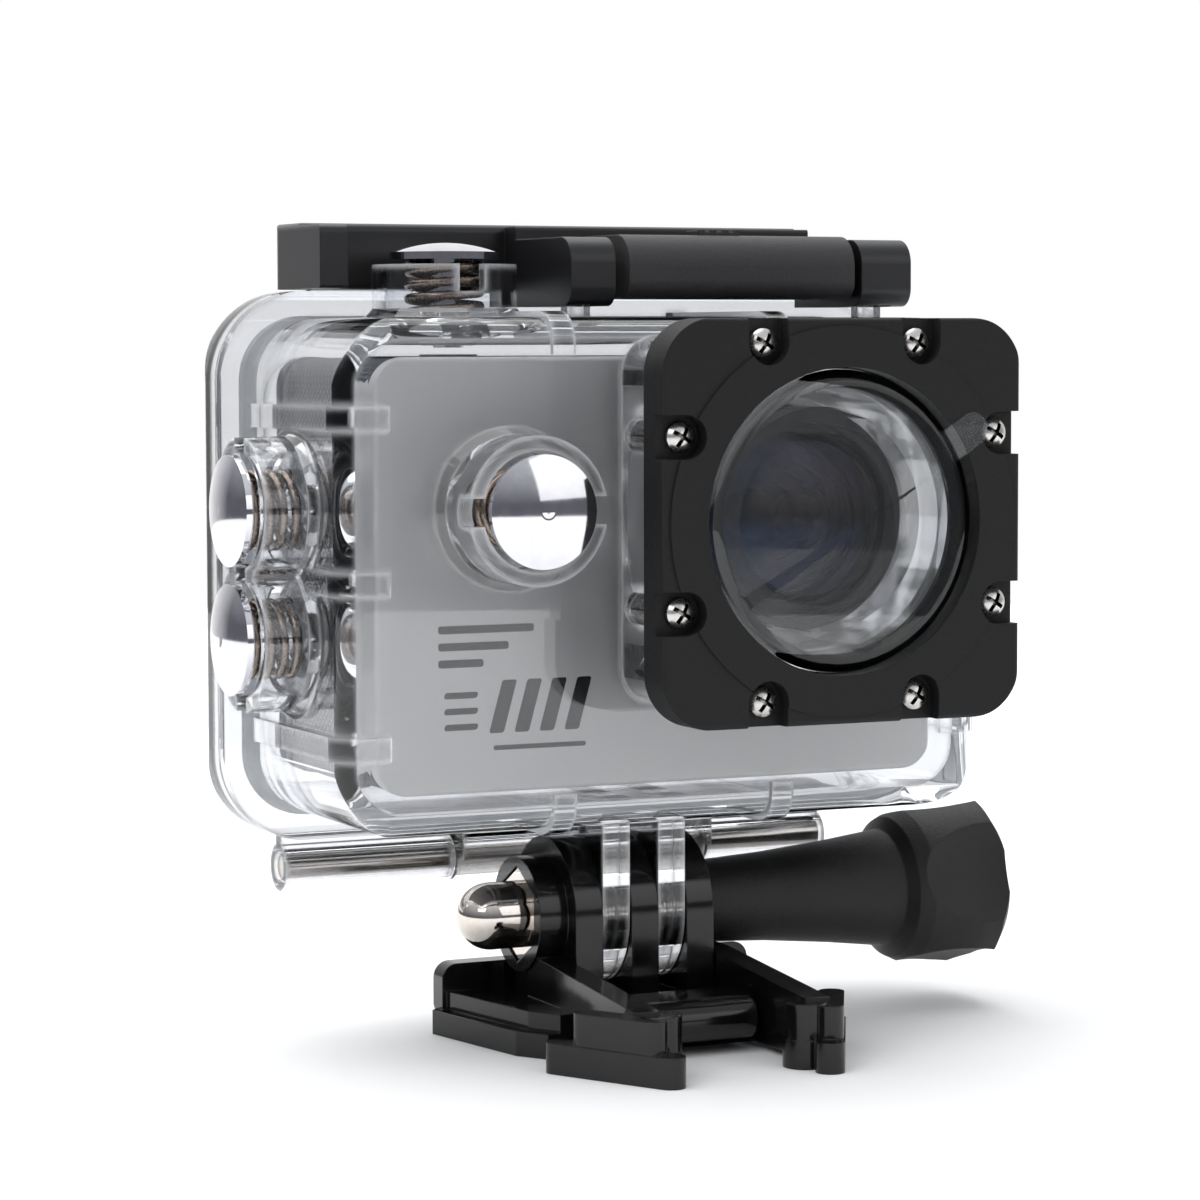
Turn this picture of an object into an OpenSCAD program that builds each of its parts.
// Action camera in a clear diving housing, on a quick-release buckle.
// Millimetres, +Z up. The origin is on the underside of the buckle, straight below the tilt pivot.
// The lens looks along -Y. "Left" is -X.
// Pieces of the housing are modelled from the middle of the camera's front face, then lifted into place.

/* [Camera] */
// Width of the camera body
cam_w = 59.3; // [54:0.1:72]
// Height of the camera body
cam_h = 41.1; // [40:0.1:52]
// Depth of the camera body without its lens
cam_d = 21.3; // [20:0.1:28]
// Corner radius of the camera's face
cam_corner = 3.4; // [2:0.1:6]
// Thickness of the painted front plate
face_t = 1.8; // [1.4:0.1:3]
// Thickness of the back cover
back_t = 1.6; // [1.2:0.1:2.4]
// Wall of the camera's middle band
band_t = 1.6; // [1.2:0.1:2.4]
// How far the middle band stands back from the plates
band_inset = 0.2; // [0:0.05:0.5]
// Width of the screen glass
screen_w = 44; // [30:0.5:48]
// Height of the screen glass
screen_h = 33; // [22:0.5:36]
// Thickness of the screen glass
screen_t = 0.8; // [0.5:0.1:1.2]

/* [Lens] */
// Lens axis, right of the camera's middle
lens_x = 12.1; // [6:0.1:14]
// Lens axis, above the camera's middle
lens_z = 5.0; // [0:0.1:7]
// Outer diameter of the lens barrel
lens_d = 21.5; // [18:0.1:23]
// How far the barrel stands out of the face
lens_out = 9.2; // [6:0.1:9.6]
// Diameter of the front glass
front_glass_d = 16.6; // [12:0.1:18]
// Diameter of the pupil behind the front glass
pupil_d = 4.2; // [2:0.1:6]
// Diameter of the barrel inside the body
inner_barrel_d = 17; // [14:0.1:18]

/* [Battery and card] */
// Width of the battery
battery_w = 27; // [20:0.1:28]
// Height of the battery
battery_h = 33; // [25:0.1:34]
// Thickness of the battery
battery_t = 9.4; // [6:0.1:10]
// Width of the memory card
card_w = 11; // [8:0.1:12]
// Height of the memory card
card_h = 15; // [10:0.1:16]

/* [Housing] */
// Wall of the clear shell
wall = 2.2; // [1.8:0.1:3]
// Space beside the camera
side_gap = 1.9; // [1.5:0.1:3]
// Space above and below the camera
top_gap = 1.5; // [1.2:0.1:3]
// Space in front of the camera
front_gap = 0.9; // [0.7:0.1:2]
// Space behind the camera
back_gap = 0.6; // [0.3:0.1:2]
// Outer corner radius of the shell
shell_corner = 6.2; // [5:0.1:9]
// Rounding of the shell's front edge
shell_soft = 2.6; // [1:0.1:3]
// How far the sealing flange stands out at the sides
flange_side = 3.6; // [3:0.1:6]
// How far the sealing flange stands out above and below
flange_top = 2.7; // [2.4:0.1:5]
// Thickness of the sealing flange
flange_t = 2.0; // [1.5:0.1:3]
// Corner radius of the flange and the door
flange_corner = 8.8; // [7:0.1:12]
// Thickness of the stiffening ribs
rib_t = 2.3; // [1.5:0.1:3]
// Height of the stiffening ribs above the shell
rib_h = 0.6; // [0.3:0.1:1]
// Spacing of the side ribs
rib_pitch = 15.3; // [13:0.1:17]
// Distance of the top and bottom ribs from the middle
rib_x = 11.6; // [10:0.1:14]

/* [Door and seal] */
// Thickness of the rear door
door_t = 2.8; // [2.2:0.1:4]
// Rounding of the door's rear edge
door_soft = 1.2; // [0.5:0.1:2]
// Thickness of the pressed gasket
gasket_t = 1.0; // [0.6:0.1:1.6]
// Width of the gasket's band
gasket_w = 2.2; // [1.5:0.1:2.4]
// Height of the lip that the latch holds
lip_h = 1.5; // [1:0.1:2]
// Thickness of the lip that the latch holds
lip_t = 1.1; // [0.8:0.1:1.4]

/* [Door hinge] */
// Radius of the hinge knuckles
knuckle_r = 2.35; // [2.1:0.05:2.6]
// Radius of the hinge pin
hinge_pin_r = 1.2; // [0.9:0.05:1.4]
// Hinge axis below the flange
hinge_drop = 3.0; // [2.9:0.1:4]
// Left end of the hinge, from the camera's middle
hinge_left = -30.5; // [-31.5:0.1:-26]
// Right end of the hinge, from the camera's middle
hinge_right = 29.7; // [26:0.1:31]
// Half length of the middle knuckle
mid_knuckle_half = 13.9; // [10:0.1:16]
// Middle knuckle, right of the camera's middle
mid_knuckle_x = 1.75; // [-2:0.05:3]

/* [Lens port] */
// Width and height of the black lens plate
plate_w = 38.2; // [36:0.1:42]
// Thickness of the lens plate
plate_t = 4.1; // [3.6:0.1:5]
// Corner radius of the lens plate
plate_corner = 5.2; // [4:0.1:7]
// How far the plate's front stands before the camera's face
plate_reach = 15.3; // [13.2:0.1:16]
// How far the clear neck stands back from the plate's edge
neck_inset = 1.6; // [1:0.1:2.5]
// Diameter of the plate's round window
window_d = 29; // [27:0.1:30]
// Bore of the neck around the lens
port_bore = 25.4; // [24.4:0.1:26]
// Recess of the port glass behind the plate's front
glass_recess = 0.3; // [0.2:0.1:1.6]
// Width of the port glass's hidden rim
glass_rim = 1.7; // [1.2:0.1:2]
// Thickness of the port glass's hidden rim
glass_rim_t = 1.3; // [1:0.1:1.6]
// Radius of the faint raised disc on the plate
raised_r = 18.4; // [17:0.1:18.6]
// Height of the faint raised disc
raised_h = 0.2; // [0.1:0.05:0.4]
// Screws from the plate's middle, along the near side
screw_near = 8.15; // [7:0.05:9]
// Screws from the plate's middle, along the far side
screw_far = 16.75; // [16.4:0.05:17.2]
// Diameter of the plate screws' heads
screw_head_d = 2.8; // [2.4:0.1:3]
// Height of the plate screws' heads
screw_head_h = 1.2; // [0.8:0.1:1.4]
// Diameter of the plate screws' threads
screw_d = 1.6; // [1.2:0.1:1.8]
// Length of the plate screws' threads
screw_l = 5.0; // [4:0.1:6]
// Radius of the clear posts that the screws bite into
post_r = 1.7; // [1.5:0.1:2]
// Width of the notch around each screw
notch_w = 4.1; // [3.6:0.1:4.4]
// Depth of the notch around each screw
notch_depth = 1.7; // [1.3:0.1:2]
// Thickness of the peel-off film
film_t = 0.15; // [0.1:0.01:0.25]
// Length of the film's pull tab
film_tab = 3.1; // [2.5:0.1:5]
// Half width of the film's pull tab
film_half = 1.6; // [1.4:0.1:2.2]
// Angle of the film's pull tab above level
film_angle = 32; // [0:1:90]

/* [Buttons] */
// Diameter of the chrome caps
cap_d = 10.6; // [9:0.1:11]
// Rim thickness of the caps
cap_rim = 0.7; // [0.5:0.1:1]
// Rise of the caps' domes
cap_dome = 0.95; // [0.5:0.05:1.4]
// Gap between a boss and its cap at rest
cap_gap = 0.5; // [0.3:0.1:1]
// Outer radius of the bosses
boss_r = 7.0; // [6.6:0.1:7.4]
// Wall of the bosses
boss_t = 1.4; // [1:0.1:1.5]
// Height of the top and side bosses
boss_h = 5.1; // [4.5:0.1:6.5]
// Height of the front boss
front_boss_h = 6.5; // [4.5:0.1:7]
// Radius of the buttons' stems
stem_r = 1.5; // [1.2:0.05:1.8]
// Travel of every button
travel = 1.0; // [0.6:0.1:1]
// Front and side buttons: height of the front one above the middle
front_button_z = 6.35; // [3:0.05:8]
// Distance of the front button left of the middle
front_button_x = 16.9; // [15:0.1:19]
// Distance of the top button left of the middle
top_button_x = 17.8; // [15:0.1:19]
// Half the spacing of the two side buttons
side_button_z = 6.1; // [6.05:0.05:8]
// Distance of the top and side buttons behind the camera's face
button_y = 10.5; // [9:0.1:11]
// Width of the drain slots in the bosses
drain_w = 2.6; // [1.5:0.1:3.5]
// Mean radius of the button springs
spring_r = 3.4; // [3:0.1:3.8]
// Wire of the button springs
spring_wire = 1.0; // [0.6:0.1:1.1]
// Diameter of the camera's own keys
key_d = 5.6; // [4:0.1:7]
// Depth of the camera's own keys
key_depth = 2.4; // [2:0.1:2.6]

/* [Latch] */
// Half length of the latch bar
bar_half = 30; // [28:0.1:33]
// Height of the latch bar
bar_h = 6.4; // [5.5:0.1:8]
// Distance from the camera's face back to the latch's front
latch_front = 2.5; // [1.5:0.1:4]
// Distance from the camera's face back to the bar's pocket wall
pocket_y = 18.2; // [18:0.1:19]
// Distance from the camera's face back to the end block's front
end_block_y = 12; // [10:0.1:14]
// Width of the end block
end_block_w = 2.9; // [2:0.1:4]
// Wall behind the door's lip
hook_t = 1.5; // [1.2:0.1:2]
// Left cheek: its left side
cheek_left = -8.0; // [-8.4:0.1:-7]
// Width of the left cheek
cheek_w = 4.7; // [4.4:0.1:5]
// Width of the right cheek
cheek_right_w = 5.6; // [5:0.1:7]
// Gap left of the lever
lever_gap_left = 1.5; // [0.5:0.1:2]
// Gap right of the lever
lever_gap_right = 0.8; // [0.4:0.1:1.5]
// Rounding of the lever's front edge
lever_soft = 3.0; // [2:0.1:3.2]
// Distance from the latch's front to the lever's pivot
lever_pivot_y = 9.7; // [9:0.1:10]
// Radius of the lever around its pivot
lever_r = 3.1; // [2.8:0.1:3.2]
// Distance from the latch's front to the bar's pivot
bar_pivot_y = 4.2; // [4:0.1:4.6]
// Height of the bar's pivot above the shell
bar_pivot_z = 4.1; // [4:0.1:4.4]
// Radius of the latch pins
latch_pin_r = 0.75; // [0.6:0.05:0.9]
// Width of the clear lugs that carry the bar
lug_t = 2.0; // [1.6:0.1:2.2]
// Width of the slide lock's tab
lock_w = 4.6; // [3:0.1:6]
// Travel of the slide lock
lock_travel = 2.4; // [1.5:0.1:3]

/* [Tilt pivot] */
// Height of the pivot above the buckle's underside
pivot_h = 12.0; // [11.5:0.1:16]
// Drop of the pivot below the shell's floor
pivot_below = 9.95; // [9.8:0.05:14]
// Distance of the pivot behind the camera's face
pivot_back = 10.5; // [9:0.1:12]
// Spacing of the fingers and prongs
finger_pitch = 6.0; // [6:0.1:6.4]
// Thickness of each finger and prong
finger_t = 2.9; // [2.6:0.05:2.95]
// Radius of the housing's finger tips
finger_r = 7.2; // [6.5:0.1:7.3]
// Radius of the buckle's prongs
prong_r = 7.5; // [6.8:0.1:7.5]

/* [Buckle] */
// Thickness of the buckle's plate
buckle_t = 4.2; // [3.5:0.1:4.2]
// Half width of the buckle at its tail
tail_half = 17.8; // [15:0.1:19]
// Half width of the buckle's rails at the front
rail_half = 15.0; // [13.5:0.1:15]
// Distance of the tail's end behind the pivot
tail_y = 6.0; // [5:0.1:9]
// Distance of the rails' front end before the pivot
rail_y = 13.0; // [11:0.1:15]
// Height of the tail's wall
tail_h = 6.9; // [5:0.1:8]
// Thickness of the tail's wall
tail_t = 2.4; // [1.8:0.1:3]
// Height of the lower rails
rail_h = 2.4; // [1.6:0.1:3]
// How far the rails stand out of the upper plate
rail_out = 1.3; // [0.8:0.1:2]
// Half width of the middle tongue
tongue_half = 6.6; // [6:0.1:7]
// Distance of the tongue's front before the pivot
tongue_y = 18.6; // [16:0.1:20]
// Slot between the tongue and an arm
arm_slot = 1.0; // [0.8:0.1:1.6]
// Width of a spring arm
arm_w = 2.6; // [2:0.1:3]
// Height of a spring arm
arm_h = 8.2; // [6:0.1:9]
// Distance of the arms' round ends before the pivot
arm_y = 26.3; // [24:0.1:28]
// Radius of the arms' round ends
arm_end_r = 2.0; // [1.8:0.1:2.2]
// How far a finger tab starts before its arm's end
tab_lead = 3.6; // [3:0.1:4]
// How far a finger tab spreads outwards
tab_spread = 6.1; // [4:0.1:7]
// How far a finger tab runs back
tab_run = 10.9; // [8:0.1:13]
// Height of a tab's lower step
tab_low_h = 2.9; // [2.2:0.1:4]
// Height of a tab's upper step
tab_high_h = 6.1; // [5.5:0.1:8]
// Half thickness of a finger tab
tab_r = 1.4; // [1.2:0.1:1.6]
// Steps of a tab: how much shorter the upper one is at the front and at the rear
tab_step_front = 1.9; // [1:0.1:3]
tab_step_rear = 3.0; // [1:0.1:4]
// Distance before the pivot where an arm begins to slope down
arm_root = 5; // [4:0.5:8]
// Rise of the tongue above the buckle's underside
tongue_rise = 1.2; // [0.4:0.1:1.6]
// Rounding of the tail wall's upper corners
tail_corner = 1.6; // [0.8:0.1:2]

/* [Clamp screw] */
// Radius of the clamp screw
bolt_r = 2.5; // [2.4:0.05:2.5]
// Width of the acorn nut across its flats
nut_af = 8.0; // [7:0.1:8]
// Height of the acorn nut's hexagon
nut_hex_h = 3.4; // [3:0.1:4]
// Length of the acorn nut's neck between its hexagon and its dome
nut_neck = 3.1; // [1:0.1:4]
// Radius of the acorn nut's dome
nut_dome_r = 3.3; // [3:0.1:3.6]
// Radius of the nut's holder
holder_r = 5.7; // [5.4:0.1:6.5]
// How far the holder stands out of its prong
holder_out = 3.0; // [2:0.1:4]
// Length of the knob's shaft
shaft_l = 22.7; // [18:0.1:30]
// Radius of the knob's shaft at the prong
shaft_r = 4.0; // [3.5:0.1:4.5]
// Radius of the knob's shaft at the head
shaft_end_r = 6.0; // [5:0.1:6.5]
// Length of the knob's head
head_l = 11.1; // [9:0.1:15]
// Largest radius of the knob's head
head_r = 9.2; // [8:0.1:9.4]
// Number of finger scoops in the head
scoops = 4; // [3:1:5]
// Radius of a finger scoop
scoop_r = 17; // [12:0.5:22]
// Depth of a finger scoop at the head's end
scoop_depth = 2.5; // [1.5:0.1:3]

/* [Fits] */
// Radial clearance of a pin or shaft that turns
run_fit = 0.08; // [0.02:0.01:0.1]
// Clearance around a piece that is laid in
laid_fit = 0.15; // [0.1:0.01:0.25]
// Clearance between pieces that move past each other
pass_fit = 0.3; // [0.2:0.05:0.4]

/* [Hidden] */
$fn = 64;

big = 200;
nip = 0.01;

// Shell: half sizes outside, and the planes from front to back
shell_x = cam_w / 2 + side_gap + wall;
shell_z = cam_h / 2 + top_gap + wall;
shell_front = -front_gap - wall;
cavity_corner = shell_corner - wall;
flange_x = shell_x + flange_side;
flange_z = shell_z + flange_top;
flange_back = cam_d + back_gap - gasket_t + 0.7;
flange_front = flange_back - flange_t;
door_front = flange_back + gasket_t;
door_back = door_front + door_t;
hinge_y = door_front + 0.8;
hinge_z = -flange_z - hinge_drop;
mid_x0 = mid_knuckle_x - mid_knuckle_half;
mid_x1 = mid_knuckle_x + mid_knuckle_half;
pin_set = 0.3;

// Lens port planes
plate_front = -plate_reach;
plate_back = plate_front + plate_t;
neck_w = plate_w - 2 * neck_inset;
glass_front = plate_front + glass_recess;
glass_shoulder = 1.6;
glass_curve = 24;
glass_r = window_d / 2 - laid_fit;
port_gasket_t = 0.6;
notch_floor = plate_front + notch_depth;
post_l = screw_l + 0.6;

// Button stack, measured outwards from the shell's inner wall
clip_gap = 0.05;
clip_t = 0.4;
clip_r = 2.6;
tip_out = clip_gap + clip_t + 0.2;
key_gap = 0.65;
key_sink = tip_out + key_gap;
sweep = clip_gap + clip_t + travel + 0.15;
key_travel = travel / 2;
seal_t = 0.8;
seal_mid_r = stem_r + run_fit + seal_t / 2;
seal_room_r = seal_mid_r + seal_t / 2 + 0.05;

// Inside the camera: the battery bay's wall and back, and the board
bay_x = lens_x - inner_barrel_d / 2 - 2.4;
bay_y = 8.0;
board_y = 13.2;

// Latch planes
latch_base = flange_z + laid_fit;
latch_top = latch_base + bar_h;
bar_back = door_front + lip_t + laid_fit + hook_t;
cheek_base = shell_z + 1.1;
lever_left = cheek_left + cheek_w + lever_gap_left;
latch_short = 0.7;
lever_right = bar_half - cheek_right_w - lever_gap_right - latch_short;
cheek_right = lever_right + lever_gap_right;
latch_right = cheek_right + cheek_right_w;
lever_top = latch_top - 1.2;
lever_base = shell_z + rib_h + 1.3;
lever_low_r = 1.6;
cheek_top = latch_top - 1.5;
lever_pivot = [latch_front + lever_pivot_y, lever_top - lever_r];
bar_pivot = [latch_front + bar_pivot_y, shell_z + bar_pivot_z];
beam_front = lever_pivot[0] + lever_r + pass_fit;
rear_corner = 2.0;
end_soft = 0.8;
lug_r = 2.0;
lug_x = [cheek_left + cheek_w / 2, cheek_right + cheek_right_w / 2];
lock_x = (lever_left + lever_right) / 2 - lock_travel / 2;
lock_y = lever_pivot[0] - 5.4;
lock_len = 2.6;
lock_deep = 1.1;
lock_proud = 0.5;

// Tilt pivot and clamp
pivot_drop = shell_z + pivot_below;
bore_r = bolt_r + run_fit;
prong_edge = finger_pitch + finger_t / 2;
holder_end = -prong_edge - holder_out;
nut_seat = -prong_edge + 0.6;
nut_hex_end = nut_seat - nut_hex_h;
knob_start = prong_edge + laid_fit;
flare = shaft_end_r - shaft_r;
scoop_turn = 15;
head_start = knob_start + shaft_l;
head_end = head_start + head_l;

// Buckle: where an arm ends inside the plate, and how far its tip lies under the tab's top
arm_back = 2;
arm_dip = 0.3;
tail_set = 0.9;

// The middle of the camera's front face
face = [0, -pivot_back, pivot_h + pivot_drop];

// ---- helpers ----

// Rounded rectangle, w by h, on its middle
module outline(w, h, r) {
  square([w - 2 * r, h], center = true);
  square([w, h - 2 * r], center = true);
  for (x = [-1, 1], y = [-1, 1]) translate([x * (w / 2 - r), y * (h / 2 - r)]) circle(r);
}

// What a rounded corner takes away, at the origin's corner
module corner_waste(r) {
  difference() {
    translate([-nip, -nip]) square(r + nip);
    translate([r, r]) circle(r);
  }
}

// Rectangle w wide on its middle and d deep from 0, with its front and back corners rounded
module soft_side(w, d, front, back) {
  difference() {
    translate([-w / 2, 0]) square([w, d]);
    for (side = [0, 1]) mirror([side, 0]) {
      if (front > 0) translate([-w / 2, 0]) corner_waste(front);
      if (back > 0) translate([-w / 2, d]) mirror([0, 1]) corner_waste(back);
    }
  }
}

// Upright slab between two Y planes
module upright(w, h, r, y0, y1) {
  translate([0, y1, 0]) rotate([90, 0, 0]) linear_extrude(y1 - y0) outline(w, h, r);
}

// The same slab with its front and back edges rounded
module soft_slab(w, h, r, y0, y1, front = 0, back = 0) {
  intersection() {
    upright(w, h, r, y0, y1);
    translate([0, y0, -h]) linear_extrude(2 * h) soft_side(w, y1 - y0, front, back);
    translate([-w, y0, 0]) rotate([0, 90, 0]) linear_extrude(2 * w) soft_side(h, y1 - y0, front, back);
  }
}

// Box between two corners
module block(a, b) {
  translate(a) cube(b - a);
}

// Cylinder along X, Y or Z between two places on that axis, at (u, v) on the other two
module rod_x(r, x0, x1, y, z) {
  translate([x0, y, z]) rotate([0, 90, 0]) cylinder(h = x1 - x0, r = r);
}
module rod_y(r, y0, y1, x, z) {
  translate([x, y1, z]) rotate([90, 0, 0]) cylinder(h = y1 - y0, r = r);
}

// Lifts housing pieces from the camera's face into the model
module placed() {
  translate(face) children();
}

// Puts button pieces on the shell's inner wall, with +Z pointing outwards
module at_shutter() {
  translate([-top_button_x, button_y, shell_z - wall]) children();
}
module at_power() {
  translate([-front_button_x, shell_front + wall, front_button_z]) rotate([90, 0, 0]) children();
}
module at_side(z) {
  translate([-shell_x + wall, button_y, z]) rotate([0, -90, 0]) children();
}

// The eight screw places on the lens plate
module at_plate_screws() {
  for (a = [0, 90, 180, 270], s = [-1, 1]) {
    translate([lens_x, 0, lens_z]) rotate([0, a, 0]) translate([s * screw_near, 0, screw_far]) children();
  }
}

// ---- clear shell ----

// Cup that holds a button's spring, standing on the outer wall
module boss(h) {
  translate([0, 0, wall - nip]) cylinder(h = h + nip, r = boss_r);
  translate([0, 0, wall - nip]) cylinder(h = 0.9, r1 = boss_r + 0.8, r2 = boss_r);
}
module boss_hollow(h) {
  translate([0, 0, wall]) cylinder(h = h + 1, r = boss_r - boss_t);
  translate([0, 0, -1]) cylinder(h = wall + 2, r = stem_r + run_fit);
  translate([0, 0, wall - seal_t - 0.1]) cylinder(h = seal_t + 1, r = seal_room_r);
  translate([-drain_w / 2, -boss_r - 1, wall + h - 2.6]) cube([drain_w, 2 * boss_r + 2, 4]);
}

// Ribs that wrap the front corners, cut from a slightly larger shell
module ribs() {
  intersection() {
    soft_slab(2 * (shell_x + rib_h), 2 * (shell_z + rib_h), shell_corner + rib_h,
              shell_front - rib_h, flange_front + nip, shell_soft + rib_h);
    union() {
      for (i = [-1, 0, 1], s = [-1, 1])
        translate([s * shell_x, flange_front / 2, i * rib_pitch - 0.4]) cube([9, 60, rib_t], center = true);
      for (x = [-rib_x, rib_x], s = [-1, 1])
        translate([x, flange_front / 2, s * shell_z]) cube([rib_t, 60, 7], center = true);
    }
  }
}

// Two fingers for the tilt pivot, hanging from the shell's floor
module fingers() {
  for (s = [-1, 1]) {
    rod_x(finger_r, (s * finger_pitch - finger_t) / 2, (s * finger_pitch + finger_t) / 2,
          pivot_back, -pivot_drop);
    block([(s * finger_pitch - finger_t) / 2, pivot_back - finger_r, -pivot_drop],
          [(s * finger_pitch + finger_t) / 2, pivot_back + finger_r, -shell_z + nip]);
  }
}

// Lug that carries one end of the latch bar
module lug(x) {
  rod_x(lug_r, x - lug_t / 2, x + lug_t / 2, bar_pivot[0], bar_pivot[1]);
  block([x - lug_t / 2, bar_pivot[0] - 1.2, shell_z - nip], [x + lug_t / 2, bar_pivot[0] + 1.2, bar_pivot[1]]);
}

module middle_knuckle() {
  rod_x(knuckle_r, mid_x0, mid_x1, hinge_y, hinge_z);
  block([mid_x0, flange_front, hinge_z], [mid_x1, hinge_y, -flange_z - 0.25]);
  block([mid_x0, flange_front, hinge_z], [mid_x1, flange_back, -flange_z + 1]);
}

module housing_shell() color("gainsboro", 0.4) placed() difference() {
  union() {
    soft_slab(2 * shell_x, 2 * shell_z, shell_corner, shell_front, flange_front + nip, shell_soft);
    soft_slab(2 * flange_x, 2 * flange_z, flange_corner, flange_front, flange_back, 0.5);
    translate([lens_x, 0, lens_z]) upright(neck_w, neck_w, plate_corner - neck_inset, plate_back, shell_front + 1);
    at_plate_screws() rod_y(post_r, plate_back, plate_back + post_l, 0, 0);
    ribs();
    at_shutter() boss(boss_h);
    at_power() boss(front_boss_h);
    for (z = [-side_button_z, side_button_z]) at_side(z) boss(boss_h);
    fingers();
    for (x = lug_x) lug(x);
    middle_knuckle();
  }
  upright(2 * (shell_x - wall), 2 * (shell_z - wall), cavity_corner, -front_gap, big);
  rod_y(port_bore / 2, -big, 0, lens_x, lens_z);
  at_shutter() boss_hollow(boss_h);
  at_power() rotate([0, 0, 90]) boss_hollow(front_boss_h);
  for (z = [-side_button_z, side_button_z]) at_side(z) rotate([0, 0, 90]) boss_hollow(boss_h);
  at_plate_screws() rod_y(screw_d / 2, plate_back - 1, plate_back + screw_l, 0, 0);
  rod_x(bore_r, -20, 20, pivot_back, -pivot_drop);
  rod_x(hinge_pin_r, -big, big, hinge_y, hinge_z);
  for (x = lug_x) rod_x(latch_pin_r + run_fit, x - 5, x + 5, bar_pivot[0], bar_pivot[1]);
}

// ---- door, seal and hinge pin ----

module rear_door() color("gainsboro", 0.4) placed() difference() {
  union() {
    soft_slab(2 * flange_x, 2 * flange_z, flange_corner, door_front, door_back, 0, door_soft);
    block([-bar_half + 3, door_front, flange_z - 1], [bar_half - 3, door_front + lip_t, flange_z + lip_h]);
    for (x = [[hinge_left, mid_x0 - pass_fit], [mid_x1 + pass_fit, hinge_right]]) {
      rod_x(knuckle_r, x[0], x[1], hinge_y, hinge_z);
      block([x[0], door_front, hinge_z], [x[1], door_back - door_soft, -flange_z + 1.5]);
    }
  }
  rod_x(hinge_pin_r + run_fit, -big, big, hinge_y, hinge_z);
  upright(2 * (shell_x - 4), 2 * (shell_z - 4), cavity_corner, door_back - 0.8, door_back + 1);
}

module door_gasket() color("whitesmoke", 0.8) placed() difference() {
  upright(2 * (flange_x - 2.4), 2 * (flange_z - 2.4), flange_corner - 2.4, flange_back, door_front);
  upright(2 * (flange_x - 2.4 - gasket_w), 2 * (flange_z - 2.4 - gasket_w), flange_corner - 2.4 - gasket_w,
          flange_back - 1, door_front + 1);
}

module hinge_pin() color("silver") placed()
  rod_x(hinge_pin_r, hinge_left + pin_set, hinge_right - pin_set, hinge_y, hinge_z);

// ---- lens port ----

module lens_plate() color("black") placed() difference() {
  union() {
    translate([lens_x, 0, lens_z]) soft_slab(plate_w, plate_w, plate_corner, plate_front, plate_back, 0.5);
    rod_y(raised_r, plate_front - raised_h, plate_front + 1, lens_x, lens_z);
  }
  rod_y(window_d / 2, -big, 0, lens_x, lens_z);
  rod_y(window_d / 2 + glass_rim + laid_fit, plate_back - glass_rim_t - port_gasket_t, 0, lens_x, lens_z);
  at_plate_screws() {
    rod_y(notch_w / 2, plate_front - 2, notch_floor, 0, 0);
    block([-notch_w / 2, plate_front - 2, 0], [notch_w / 2, notch_floor, 9]);
    rod_y(screw_d / 2 + laid_fit, -big, 0, 0, 0);
  }
}

module plate_screws() color("silver") placed() at_plate_screws() difference() {
  union() {
    rod_y(screw_d / 2, notch_floor - nip, plate_back + screw_l - 0.2, 0, 0);
    intersection() {
      rod_y(screw_head_d / 2, notch_floor - screw_head_h, notch_floor, 0, 0);
      translate([0, notch_floor + 0.6, 0]) sphere(r = screw_head_h + 0.6);
    }
  }
  for (a = [30, 120]) rotate([0, a, 0])
    block([-screw_head_d / 2 + 0.4, notch_floor - 2, -0.2], [screw_head_d / 2 - 0.4, notch_floor - 0.5, 0.2]);
}

module port_glass() color("white", 0.3) placed() {
  rod_y(glass_r, glass_front + glass_shoulder, plate_back - port_gasket_t, lens_x, lens_z);
  rod_y(window_d / 2 + glass_rim, plate_back - port_gasket_t - glass_rim_t, plate_back - port_gasket_t,
        lens_x, lens_z);
  translate([lens_x, glass_front + glass_shoulder + nip, lens_z]) rotate([90, 0, 0]) rotate_extrude() {
    square([glass_r - glass_shoulder, glass_shoulder + nip]);
    intersection() {
      translate([glass_r - glass_shoulder - nip, 0]) square([glass_shoulder + nip, glass_shoulder + nip]);
      translate([glass_r - glass_shoulder, nip]) circle(glass_shoulder);
    }
  }
}

module port_gasket() color("dimgray") placed() difference() {
  rod_y(window_d / 2 + glass_rim, plate_back - port_gasket_t, plate_back, lens_x, lens_z);
  rod_y(port_bore / 2, plate_back - 2, plate_back + 1, lens_x, lens_z);
}

// Peel-off film on the glass, with its pull tab lying over the plate's edge
module protective_film() color("white", 0.3) placed() translate([lens_x, 0, lens_z]) {
  rod_y(glass_r - glass_shoulder, glass_front - film_t, glass_front, 0, 0);
  rotate([0, -film_angle, 0]) {
    block([glass_r - 2.4, glass_front - film_t, -film_half], [glass_r - 1.2, glass_front, film_half]);
    block([glass_r - 1.4, plate_front - raised_h - film_t, -film_half],
          [glass_r - 1.2, glass_front, film_half]);
    block([glass_r - 1.4, plate_front - raised_h - film_t, -film_half],
          [glass_r - 1.4 + film_tab, plate_front - raised_h, film_half]);
    rod_y(film_half, plate_front - raised_h - film_t, plate_front - raised_h, glass_r - 1.4 + film_tab, 0);
  }
}

// ---- latch ----

// Side view of a cheek or of the lever: y0 to y1, z0 to z1, with its front corners rounded
module side_block(x0, x1, y0, y1, z0, z1, top_r, low_r) {
  translate([x0, 0, 0]) rotate([90, 0, 90]) linear_extrude(x1 - x0) difference() {
    translate([y0, z0]) square([y1 - y0, z1 - z0]);
    translate([y0, z1]) mirror([0, 1]) corner_waste(top_r);
    translate([y0, z0]) corner_waste(low_r);
  }
}

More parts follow.
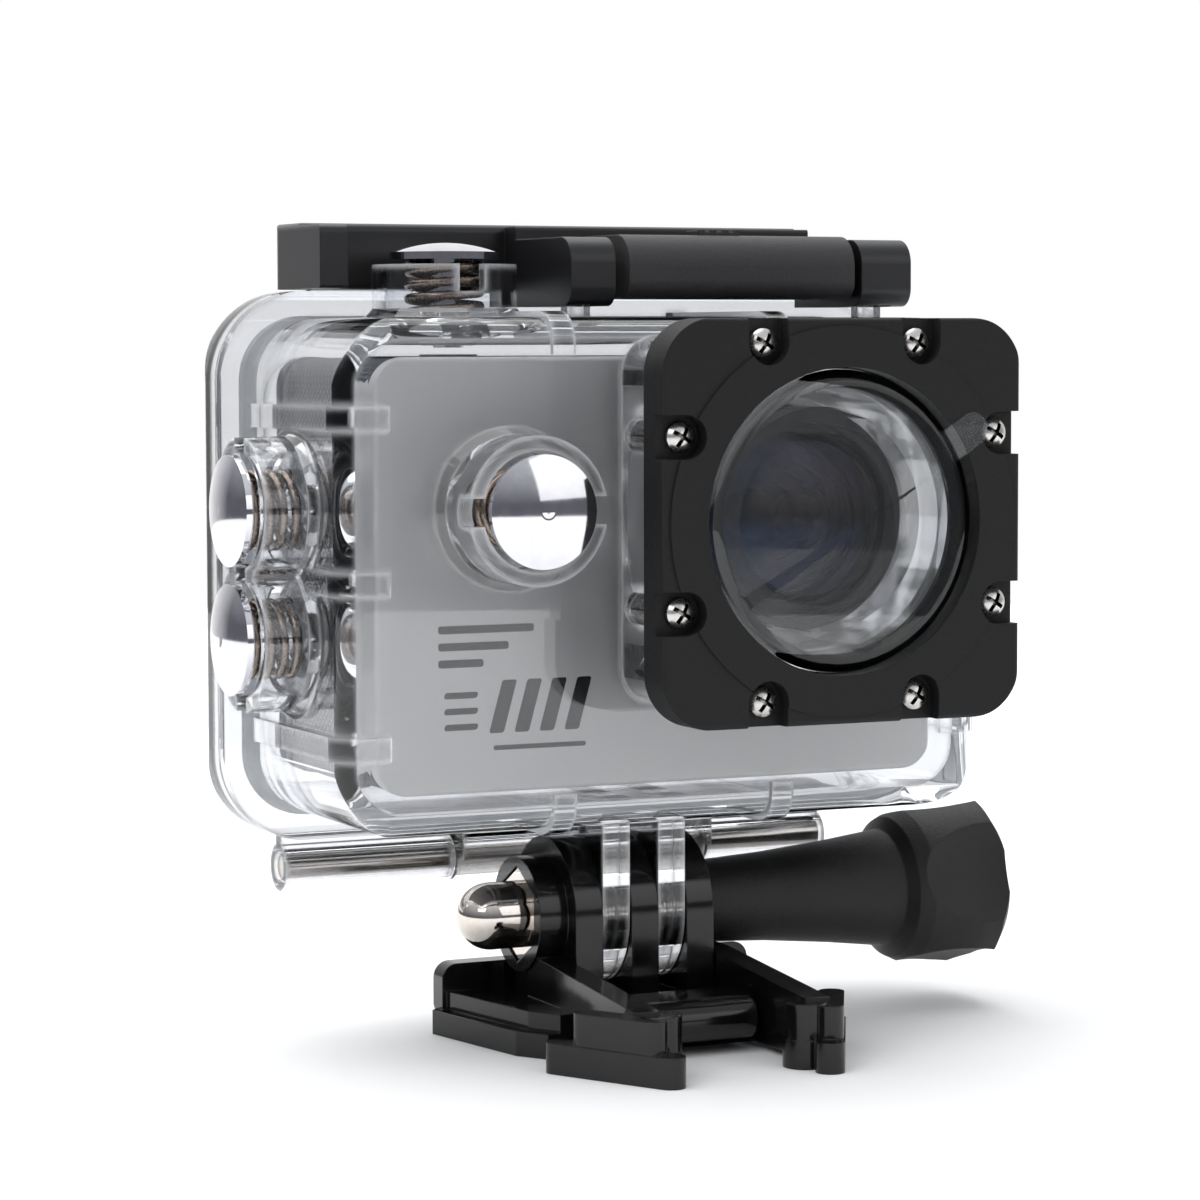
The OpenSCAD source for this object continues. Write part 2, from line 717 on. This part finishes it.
module latch_bar() color("dimgray") placed() difference() {
  union() {
    side_block(-bar_half, cheek_right + 1, pocket_y, bar_back, latch_base, latch_top, 0.8, 0.4);
    side_block(-bar_half, -bar_half + end_block_w, end_block_y, pocket_y + 1, latch_base, latch_top - 0.3, 0.8, 0.4);
    side_block(cheek_left, cheek_right + 1, beam_front, pocket_y + 1, cheek_base + 1.4, latch_top - 0.2, 0.3, 0.3);
    side_block(cheek_right, latch_right, beam_front, bar_back, cheek_base + 1.4, cheek_top, 0.3, 0.3);
    side_block(cheek_left, cheek_left + cheek_w, latch_front, beam_front + 1, cheek_base, cheek_top, 2.4, 1.8);
    side_block(cheek_right, latch_right, latch_front, beam_front + 1, cheek_base, cheek_top, 2.4, 1.8);
  }
  translate([-bar_half, bar_back, 0]) mirror([0, 1, 0]) linear_extrude(big) corner_waste(rear_corner);
  translate([latch_right, bar_back, 0]) rotate(180) linear_extrude(big) corner_waste(rear_corner);
  translate([-bar_half, big, latch_top]) rotate([90, 0, 0]) mirror([0, 1, 0])
    linear_extrude(2 * big) corner_waste(end_soft);
  translate([latch_right, big, cheek_top]) rotate([90, 0, 180]) mirror([0, 1, 0])
    linear_extrude(2 * big) corner_waste(2 * end_soft);
  block([-big, flange_front - pass_fit, shell_z - 1], [big, big, latch_base]);
  block([-bar_half + 3 - pass_fit, door_front - pass_fit, shell_z],
        [bar_half - 3 + pass_fit, door_front + lip_t + laid_fit, flange_z + lip_h + pass_fit]);
  for (x = lug_x) {
    block([x - lug_t / 2 - laid_fit, bar_pivot[0] - 3.1, shell_z],
          [x + lug_t / 2 + laid_fit, bar_pivot[0] + 2.4, bar_pivot[1] + lug_r + pass_fit]);
    rod_x(latch_pin_r, x - 2.1, x + 2.1, bar_pivot[0], bar_pivot[1]);
  }
  rod_x(latch_pin_r, cheek_left + 1, latch_right - 1, lever_pivot[0], lever_pivot[1]);
}

module bar_pins() color("silver") placed() for (x = lug_x)
  rod_x(latch_pin_r, x - 2.1, x + 2.1, bar_pivot[0], bar_pivot[1]);

module lever_pin() color("silver") placed()
  rod_x(latch_pin_r, cheek_left + 1, latch_right - 1, lever_pivot[0], lever_pivot[1]);

module latch_lever() color("dimgray") placed() difference() {
  union() {
    side_block(lever_left, lever_right, latch_front, lever_pivot[0], lever_base, lever_top, lever_soft, lever_low_r);
    rod_x(lever_r, lever_left, lever_right, lever_pivot[0], lever_pivot[1]);
  }
  rod_x(latch_pin_r + run_fit, -big / 2, big / 2, lever_pivot[0], lever_pivot[1]);
  block([lever_left + 1.5, latch_front + 2, 0], [lever_right - 1.5, lever_pivot[0] - 2.4, lever_base + 2.4]);
  block([lock_x - lock_w / 2 - laid_fit, lock_y - lock_len / 2 - laid_fit, lever_top - lock_deep - laid_fit],
        [lock_x + lock_w / 2 + lock_travel + laid_fit, lock_y + lock_len / 2 + laid_fit, big / 2]);
}

module slide_lock() color("black") placed() difference() {
  block([lock_x - lock_w / 2, lock_y - lock_len / 2, lever_top - lock_deep],
        [lock_x + lock_w / 2, lock_y + lock_len / 2, lever_top + lock_proud]);
  for (i = [-1, 0, 1]) translate([lock_x + i * 1.3, lock_y, lever_top + lock_proud])
    cube([0.5, lock_len + 1, 0.4], center = true);
}

// ---- buttons ----

// Chrome cap with its stem, for a boss of height h
module button(h) {
  top = wall + h + cap_gap;
  ball = (cap_d * cap_d / 4 + cap_dome * cap_dome) / (2 * cap_dome);
  translate([0, 0, top]) cylinder(h = cap_rim, r = cap_d / 2);
  intersection() {
    translate([0, 0, top + cap_rim - nip]) cylinder(h = cap_dome + 1, r = cap_d / 2);
    translate([0, 0, top + cap_rim + cap_dome - ball]) sphere(r = ball, $fn = 96);
  }
  difference() {
    translate([0, 0, -tip_out]) cylinder(h = top + tip_out + nip, r = stem_r);
    translate([0, 0, -clip_gap - clip_t]) difference() {
      cylinder(h = clip_t, r = stem_r + 1);
      cylinder(h = clip_t, r = stem_r - 0.35);
    }
  }
}
module spring_solid(h) difference() {
  translate([0, 0, wall]) cylinder(h = h + cap_gap, r = spring_r + spring_wire / 2);
  translate([0, 0, wall - 1]) cylinder(h = h + cap_gap + 2, r = spring_r - spring_wire / 2);
}
module clip() translate([0, 0, -clip_gap - clip_t]) difference() {
  cylinder(h = clip_t, r = clip_r);
  translate([0, 0, -1]) cylinder(h = clip_t + 2, r = stem_r - 0.35);
  translate([0, -0.7, -1]) cube([clip_r + 1, 1.4, clip_t + 2]);
}
module seal() translate([0, 0, wall - seal_t / 2]) rotate_extrude() translate([seal_mid_r, 0]) circle(seal_t / 2);

module shutter_button() color("silver") placed() at_shutter() button(boss_h);
module power_button() color("silver") placed() at_power() button(front_boss_h);
module up_button() color("silver") placed() at_side(side_button_z) button(boss_h);
module down_button() color("silver") placed() at_side(-side_button_z) button(boss_h);
module shutter_spring() color("peru") placed() at_shutter() spring_solid(boss_h);
module power_spring() color("peru") placed() at_power() spring_solid(front_boss_h);
module up_spring() color("peru") placed() at_side(side_button_z) spring_solid(boss_h);
module down_spring() color("peru") placed() at_side(-side_button_z) spring_solid(boss_h);
module shutter_clip() color("gray") placed() at_shutter() clip();
module power_clip() color("gray") placed() at_power() clip();
module up_clip() color("gray") placed() at_side(side_button_z) clip();
module down_clip() color("gray") placed() at_side(-side_button_z) clip();
module button_seals() color("black") placed() {
  at_shutter() seal();
  at_power() seal();
  at_side(side_button_z) seal();
  at_side(-side_button_z) seal();
}

// ---- camera ----

// A key's hole and the dish around it, for a camera face that lies gap inside the shell's wall
module key_room(gap) {
  dish = max(0.1, sweep - gap);
  translate([0, 0, -gap - dish]) cylinder(h = dish + 1, r = clip_r + 0.5);
  translate([0, 0, -gap - 6]) cylinder(h = 7, r = key_d / 2 + laid_fit);
}
module key() translate([0, 0, -key_sink - key_depth]) cylinder(h = key_depth, r = key_d / 2);

module camera_front() color("darkgray") placed() difference() {
  soft_slab(cam_w, cam_h, cam_corner, 0, face_t, 0.5);
  rod_y(lens_d / 2 + laid_fit, -1, face_t + 1, lens_x, lens_z);
  at_power() key_room(front_gap);
}

module camera_band() color("dimgray") placed() difference() {
  union() {
    difference() {
      upright(cam_w - 2 * band_inset, cam_h - 2 * band_inset, cam_corner - band_inset, face_t, cam_d - back_t);
      upright(cam_w - 2 * band_t, cam_h - 2 * band_t, cam_corner - band_t + 0.4, face_t - 1, cam_d);
    }
    block([bay_x, bay_y, -cam_h / 2 + band_t - 0.1], [bay_x + 1.2, cam_d - back_t, cam_h / 2 - band_t + 0.1]);
  }
  at_shutter() key_room(top_gap);
  at_side(side_button_z) key_room(side_gap);
  at_side(-side_button_z) key_room(side_gap);
  block([bay_x - battery_w, bay_y, -cam_h], [bay_x - 1, bay_y + battery_t, -cam_h / 2 + band_t + 0.2]);
}

module camera_back() color("dimgray") placed() difference() {
  soft_slab(cam_w, cam_h, cam_corner, cam_d - back_t, cam_d, 0, 0.5);
  block([-screen_w / 2 - laid_fit, cam_d - screen_t, -screen_h / 2 - laid_fit],
        [screen_w / 2 + laid_fit, cam_d + 1, screen_h / 2 + laid_fit]);
}
module screen() color("black") placed()
  block([-screen_w / 2, cam_d - screen_t, -screen_h / 2], [screen_w / 2, cam_d - 0.1, screen_h / 2]);

module lens_barrel() color("black") placed() difference() {
  union() {
    rod_y(lens_d / 2, -lens_out, 1.0, lens_x, lens_z);
    rod_y(inner_barrel_d / 2, 0.5, 7, lens_x, lens_z);
    rod_y(lens_d / 2 + 1.6, face_t, face_t + 1, lens_x, lens_z);
    rod_y(lens_d / 2 - 0.5, 0, face_t + 1, lens_x, lens_z);
  }
  rod_y(front_glass_d / 2 + 0.9, -lens_out - 1, -lens_out + 0.7, lens_x, lens_z);
  rod_y(front_glass_d / 2, -lens_out, -lens_out + 2.6, lens_x, lens_z);
  rod_y(front_glass_d / 2 - 1, -lens_out, 5, lens_x, lens_z);
  rod_y(inner_barrel_d / 2 - 2, 4, 9, lens_x, lens_z);
}

module lens_front_glass() color("white", 0.3) placed()
  translate([lens_x, -lens_out + 2.6, lens_z]) rotate([90, 0, 0]) rotate_extrude() intersection() {
    square([front_glass_d / 2 - laid_fit, 3]);
    translate([0, 1.9 - glass_curve]) circle(glass_curve, $fn = 240);
  }

// Stepped funnel behind the front glass, with the pupil in its middle
module lens_cell() color("black") placed() difference() {
  rod_y(front_glass_d / 2 - 1 - laid_fit, -lens_out + 3.0, 4.8, lens_x, lens_z);
  for (i = [0:3]) rod_y(front_glass_d / 2 - 1.9 - i * 1.15, -lens_out, -lens_out + 3.5 + i * 0.55, lens_x, lens_z);
  rod_y(pupil_d / 2, -lens_out, 6, lens_x, lens_z);
  rod_y(pupil_d / 2 + 1.2, 2.2, 6, lens_x, lens_z);
}
module lens_rear_glass() color("white", 0.3) placed()
  rod_y(pupil_d / 2 + 1.2 - laid_fit, 2.2, 4.4, lens_x, lens_z);

module image_sensor() color("slategray") placed()
  block([lens_x - 5, board_y - 1.2, lens_z - 5], [lens_x + 5, board_y, lens_z + 5]);
module main_board() color("darkgreen") placed() {
  block([bay_x + 1.2, board_y, -cam_h / 2 + band_t + 1], [cam_w / 2 - band_t - 0.6, board_y + 1.2, cam_h / 2 - band_t - 1]);
  block([bay_x + 4, board_y + 1, 4], [bay_x + 14, board_y + 2.4, 14]);
}
module battery() color("black") placed()
  block([bay_x - battery_w, bay_y + 0.2, -battery_h / 2], [bay_x, bay_y + 0.2 + battery_t, battery_h / 2]);
module battery_door() color("dimgray") placed()
  block([bay_x - battery_w + laid_fit, bay_y + laid_fit, -cam_h / 2 + band_inset],
        [bay_x - 1 - laid_fit, bay_y + battery_t - laid_fit, -cam_h / 2 + band_t + 0.1]);
module memory_card() color("black") placed()
  block([bay_x + 3, board_y + 1.2, -14], [bay_x + 3 + card_w, board_y + 2.2, -14 + card_h]);

module shutter_key() color("silver") placed() at_shutter() key();
module power_key() color("silver") placed() at_power() key();
module up_key() color("silver") placed() at_side(side_button_z) key();
module down_key() color("silver") placed() at_side(-side_button_z) key();

// ---- buckle ----

// Plan of the plate from the tail to the rails' front end, widest at the tail
module plate_plan(inset) {
  polygon([
    [-tail_half + inset, tail_y - 2], [-tail_half + 2, tail_y], [tail_half - 2, tail_y], [tail_half - inset, tail_y - 2],
    [tail_half - inset - 0.6, 1], [rail_half - inset, -rail_y + 3], [rail_half - inset - 2, -rail_y],
    [-rail_half + inset + 2, -rail_y], [-rail_half + inset, -rail_y + 3], [-tail_half + inset + 0.6, 1]
  ]);
}

// A prong of the clamp, between two X planes
module prong(x0, x1) {
  translate([x0, 0, 0]) rotate([90, 0, 90]) linear_extrude(x1 - x0) {
    translate([0, pivot_h]) circle(prong_r);
    translate([-prong_r, 1]) square([2 * prong_r - 1.5, pivot_h - 1]);
  }
}

// The middle tongue, with a round nose
module tongue() {
  nose = buckle_t / 2;
  translate([-tongue_half, 0, 0]) rotate([90, 0, 90]) linear_extrude(2 * tongue_half) {
    translate([-tongue_y + nose, tongue_rise + nose]) circle(nose);
    translate([-tongue_y + nose, tongue_rise]) square([tongue_y - rail_y + 1 - nose, buckle_t]);
  }
}

// One spring arm with its two-step finger tab, on the right
module arm() {
  inner = tongue_half + arm_slot;
  translate([inner, 0, 0]) rotate([90, 0, 90]) linear_extrude(arm_w)
    polygon([[-arm_y, 0.6], [-arm_y, tab_high_h + arm_dip], [-arm_root, arm_h], [-arm_back, arm_h],
             [-arm_back, 1], [-rail_y + 4, 0.6]]);
  translate([inner, -arm_y, 0]) {
    cylinder(h = tab_low_h - 0.2, r = arm_end_r + 0.15);
    cylinder(h = tab_high_h, r = arm_end_r);
  }
  translate([inner + 0.7, -arm_y - tab_lead, 0]) rotate([0, 0, atan2(tab_run, tab_spread)]) {
    run = norm([tab_run, tab_spread]);
    tab_step(0, run, tab_low_h, tab_r);
    tab_step(tab_step_front, run - tab_step_rear, tab_high_h - 0.1, tab_r - 0.15);
  }
}
// One step of a tab: a bar with round ends
module tab_step(x0, x1, h, r) linear_extrude(h) {
  translate([x0, 0]) circle(r);
  translate([x1, 0]) circle(r);
  translate([x0, -r]) square([x1 - x0, 2 * r]);
}

// Holder around the nut, with a web down to the plate
module nut_holder() {
  rod_x(holder_r, holder_end, -prong_edge + 1, 0, pivot_h);
  block([holder_end + 0.8, -2.2, 1], [-prong_edge + 1, 2.2, pivot_h - 3]);
}

module buckle() color("black") difference() {
  union() {
    linear_extrude(rail_h) plate_plan(0);
    translate([0, 0, rail_h - nip]) linear_extrude(buckle_t - rail_h + nip) plate_plan(rail_out);
    translate([0, 0, (tail_h + rail_h / 2) / 2])
      upright(2 * (tail_half - tail_set), tail_h - rail_h / 2, tail_corner, tail_y - tail_t, tail_y - 0.1);
    tongue();
    for (s = [0, 1]) mirror([s, 0, 0]) arm();
    prong(-prong_edge, -prong_edge + finger_t);
    prong(-finger_t / 2, finger_t / 2);
    prong(prong_edge - finger_t, prong_edge);
    nut_holder();
  }
  rod_x(bore_r, -prong_edge - 1, prong_edge + 1, 0, pivot_h);
  translate([holder_end - 1, 0, pivot_h]) rotate([0, 90, 0])
    cylinder(h = nut_seat - holder_end + 1, r = (nut_af / 2 + laid_fit) / cos(30), $fn = 6);
  for (s = [-1, 1]) translate([s * finger_pitch / 2, 0, pivot_h]) rotate([0, 90, 0])
    cylinder(h = finger_pitch - finger_t, r = finger_r + pass_fit, center = true);
}

module acorn_nut() color("silver") difference() {
  union() {
    translate([nut_hex_end, 0, pivot_h]) rotate([0, 90, 0]) cylinder(h = nut_hex_h, r = nut_af / 2 / cos(30), $fn = 6);
    rod_x(nut_dome_r, nut_hex_end - nut_neck, nut_hex_end + 1, 0, pivot_h);
    translate([nut_hex_end - nut_neck, 0, pivot_h]) sphere(r = nut_dome_r);
  }
  rod_x(bore_r, nut_hex_end - nut_neck, 0, 0, pivot_h);
}

module clamp_screw() color("silver")
  rod_x(bolt_r, nut_hex_end - nut_neck + pass_fit, head_start, 0, pivot_h);

module thumb_knob() color("black") difference() {
  translate([knob_start, 0, pivot_h]) rotate([0, 90, 0]) rotate_extrude() polygon([
    [0, 0], [shaft_r, 0], [shaft_r + 0.25 * flare, shaft_l * 0.4], [shaft_r + 0.6 * flare, shaft_l * 0.72],
    [shaft_end_r, shaft_l], [head_r - 2.0, shaft_l + 0.9], [head_r - 1.3, shaft_l + 2.4],
    [head_r - 0.2, shaft_l + head_l - 3.4], [head_r, shaft_l + head_l - 1.3],
    [head_r - 1.5, shaft_l + head_l], [0, shaft_l + head_l]
  ]);
  rod_x(bolt_r, 0, head_start, 0, pivot_h);
  for (i = [0:scoops - 1]) rotate_about_pivot(360 / scoops * i - scoop_turn)
    translate([head_end - 4.3, -head_r - scoop_r + scoop_depth, pivot_h]) sphere(r = scoop_r, $fn = 160);
}
module rotate_about_pivot(a) {
  translate([0, 0, pivot_h]) rotate([a, 0, 0]) translate([0, 0, -pivot_h]) children();
}

housing_shell();
rear_door();
door_gasket();
hinge_pin();
lens_plate();
plate_screws();
port_glass();
port_gasket();
protective_film();
latch_bar();
latch_lever();
lever_pin();
bar_pins();
slide_lock();
shutter_button();
power_button();
up_button();
down_button();
shutter_spring();
power_spring();
up_spring();
down_spring();
shutter_clip();
power_clip();
up_clip();
down_clip();
button_seals();
camera_front();
camera_band();
camera_back();
screen();
lens_barrel();
lens_front_glass();
lens_cell();
lens_rear_glass();
image_sensor();
main_board();
battery();
battery_door();
memory_card();
shutter_key();
power_key();
up_key();
down_key();
buckle();
acorn_nut();
clamp_screw();
thumb_knob();
